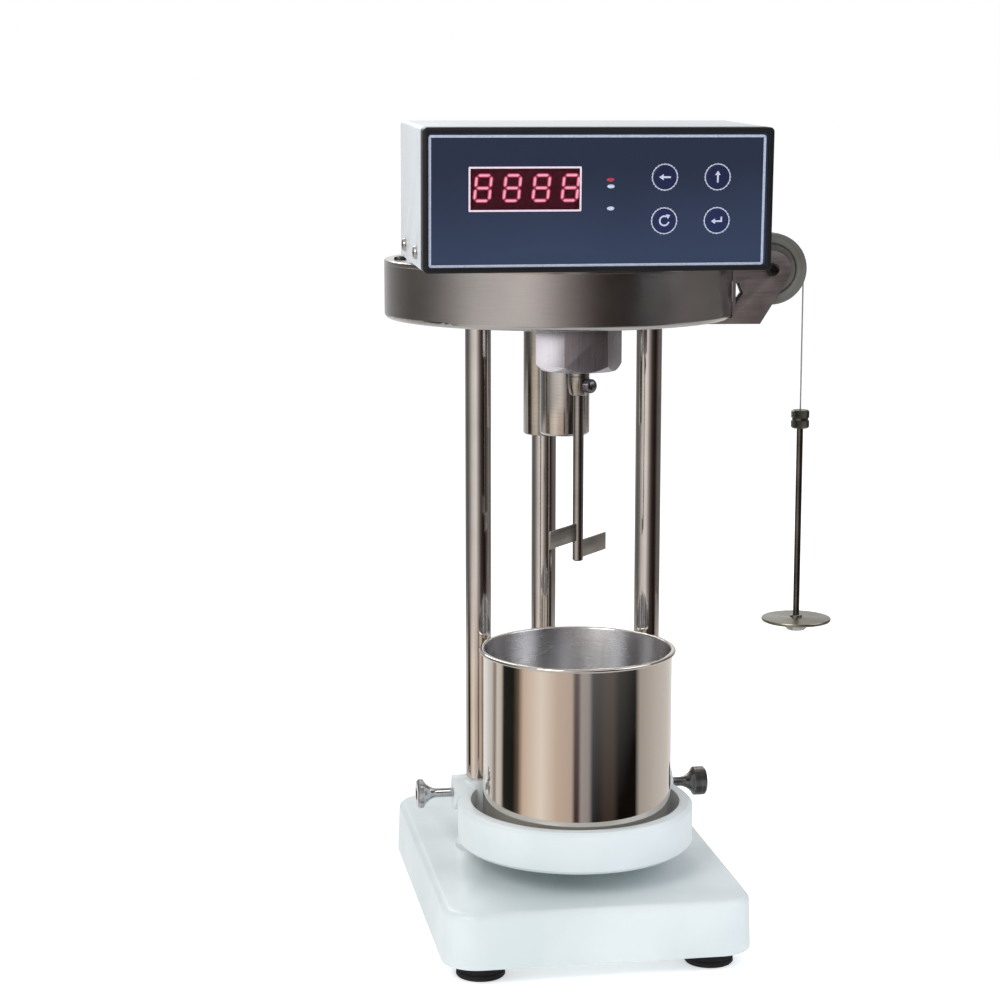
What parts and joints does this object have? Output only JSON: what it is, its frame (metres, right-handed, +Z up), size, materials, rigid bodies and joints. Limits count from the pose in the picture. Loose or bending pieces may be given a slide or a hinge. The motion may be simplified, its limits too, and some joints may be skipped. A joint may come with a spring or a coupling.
{
  "type": "rotational viscometer",
  "caption": "Bench rotational viscometer: display box on a round head over a column stand, a turning paddle above a sliding cup platform, driven by a cord and falling weight.",
  "frame": {"origin": "on the bench, straight below the middle of the round head", "axes": "+Z up, -Y towards the user at the display, +X to the pulley's side"},
  "size_m": [0.2108, 0.196, 0.3735],
  "materials": {
    "stand_paint": "satin",
    "foot_rubber": "matte",
    "column_steel": "polished",
    "ground_steel": "satin",
    "bearing_steel": "satin",
    "gear_brass": "satin",
    "head_metal": "satin",
    "bright_screw": "polished",
    "dark_steel": "satin",
    "pulley_alloy": "satin",
    "bracket_alloy": "satin",
    "cord": "matte",
    "cup_steel": "polished",
    "cover_paint": "satin",
    "spacer_alloy": "satin",
    "bezel_plastic": "satin",
    "panel_film": "satin",
    "window_film": "gloss",
    "display_block": "matte",
    "circuit_board": "satin",
    "nylon": "matte",
    "black_plastic": "satin"
  },
  "bodies": {
    "stand": {"base_casting": "stand_paint", "rubber_feet": "foot_rubber", "front_columns": "column_steel", "rear_column": "column_steel", "column_screws": "dark_steel", "rear_column_sleeve": "ground_steel", "head_shell": "head_metal", "head_lid": "head_metal", "m3_screws": "bright_screw", "m4_screws": "dark_steel", "spindle_housing": "ground_steel", "spindle_bearings": "bearing_steel", "housing_ring_nuts": "bearing_steel", "idler_housing": "ground_steel", "bronze_bushes": "gear_brass", "gear_bridge": "bearing_steel", "light_gate": "black_plastic", "friction_washer": "bearing_steel", "pulley_bracket": "bracket_alloy", "pulley_axle": "dark_steel", "feed_cord": "cord", "front_bezel": "bezel_plastic", "front_panel": "panel_film", "display_window": "window_film", "display_module": "display_block", "display_board": "circuit_board", "board_posts": "nylon", "box_cover": "cover_paint", "box_tray": "cover_paint", "box_side_screws": "bright_screw", "box_spacers": "spacer_alloy", "main_board": "circuit_board", "power_inlet": "black_plastic", "switch_well": "black_plastic"},
    "winding_spool": {"spool": "head_metal", "spool_cord": "cord", "spool_shaft": "bearing_steel", "spool_gear": "gear_brass", "winding_knob": "black_plastic"},
    "idler": {"idler_shaft": "bearing_steel", "idler_gear": "gear_brass"},
    "rotor": {"spindle": "bearing_steel", "encoder_disc": "bearing_steel", "chuck": "ground_steel"},
    "chuck_thumbscrew": {"chuck_screw": "dark_steel"},
    "stirring_paddle": {"paddle": "ground_steel"},
    "cord_pulley": {"pulley": "pulley_alloy"},
    "weight_hanger": {"hanger_nut": "dark_steel", "hanger_rod": "bright_screw", "hanger_disc": "ground_steel", "hanging_cord": "cord"},
    "platform": {"platform_ring": "stand_paint"},
    "cup": {"sample_cup": "cup_steel"},
    "left_clamp": {"left_clamp_screw": "bright_screw"},
    "right_clamp": {"right_clamp_screw": "dark_steel"},
    "reset_key": {"key_reset": "panel_film"},
    "enter_key": {"key_enter": "panel_film"},
    "left_key": {"key_left": "panel_film"},
    "up_key": {"key_up": "panel_film"},
    "switch_rocker": {"power_rocker": "black_plastic"}
  },
  "joints": [
    {"name": "platform_slide", "type": "slide", "parent": "stand", "child": "platform", "axis": [0, 0, 1], "range_m": [-0.008, 0.074]},
    {"name": "cup_lift", "type": "slide", "parent": "platform", "child": "cup", "axis": [0, 0, 1], "range_m": [0, 0.018]},
    {"name": "left_clamp_turn", "type": "hinge", "parent": "platform", "child": "left_clamp", "pos_m": [-0.06, -0.0163, 0.0597], "axis": [1, 0, 0], "range_deg": [0, 360]},
    {"name": "right_clamp_turn", "type": "hinge", "parent": "platform", "child": "right_clamp", "pos_m": [0.06, -0.0163, 0.0597], "axis": [-1, 0, 0], "range_deg": [0, 360]},
    {"name": "spool_turn", "type": "hinge", "parent": "stand", "child": "winding_spool", "pos_m": [0, 0.0138, 0.3209], "axis": [0, 0, 1], "range_deg": [-120, 370]},
    {"name": "idler_turn", "type": "hinge", "parent": "stand", "child": "idler", "pos_m": [0, -0.0182, 0.292], "axis": [0, 0, 1], "range_deg": [-950, 310]},
    {"name": "rotor_turn", "type": "hinge", "parent": "stand", "child": "rotor", "pos_m": [0, -0.0512, 0.292], "axis": [0, 0, 1], "range_deg": [-820, 2525]},
    {"name": "pulley_turn", "type": "hinge", "parent": "stand", "child": "cord_pulley", "pos_m": [0.0978, -0.016, 0.3053], "axis": [-0.1146, -0.9934, 0], "range_deg": [-438, 143]},
    {"name": "hanger_travel", "type": "slide", "parent": "stand", "child": "weight_hanger", "axis": [0, 0, 1], "range_m": [-0.12, 0.04], "deforming": ["hanging_cord"]},
    {"name": "chuck_screw_turn", "type": "hinge", "parent": "rotor", "child": "chuck_thumbscrew", "pos_m": [0, -0.0512, 0.2566], "axis": [0.515, -0.8572, 0], "range_deg": [0, 360]},
    {"name": "paddle_release", "type": "slide", "parent": "rotor", "child": "stirring_paddle", "axis": [0, 0, 1], "range_m": [-0.01, 0]},
    {"name": "reset_key_press", "type": "slide", "parent": "stand", "child": "reset_key", "axis": [0, 0.9994, 0.0355], "range_m": [0, 0.0008], "stiffness_N_per_m": 600, "springref_m": -0.0006},
    {"name": "enter_key_press", "type": "slide", "parent": "stand", "child": "enter_key", "axis": [0, 0.9994, 0.0355], "range_m": [0, 0.0008], "stiffness_N_per_m": 600, "springref_m": -0.0006},
    {"name": "left_key_press", "type": "slide", "parent": "stand", "child": "left_key", "axis": [0, 0.9994, 0.0355], "range_m": [0, 0.0008], "stiffness_N_per_m": 600, "springref_m": -0.0006},
    {"name": "up_key_press", "type": "slide", "parent": "stand", "child": "up_key", "axis": [0, 0.9994, 0.0355], "range_m": [0, 0.0008], "stiffness_N_per_m": 600, "springref_m": -0.0006},
    {"name": "power_rocker_tilt", "type": "hinge", "parent": "stand", "child": "switch_rocker", "pos_m": [-0.012, -0.01813, 0.35054], "axis": [0, -0.0355, 0.9994], "range_deg": [0, 16]}
  ],
  "couplings": [
    {"joint": "idler_turn", "follows": "spool_turn", "ratio": -2.5556},
    {"joint": "rotor_turn", "follows": "spool_turn", "ratio": 6.8148},
    {"joint": "pulley_turn", "follows": "spool_turn", "ratio": -1.1795},
    {"joint": "hanger_travel", "follows": "spool_turn", "m_per_rad": -0.0184}
  ]
}
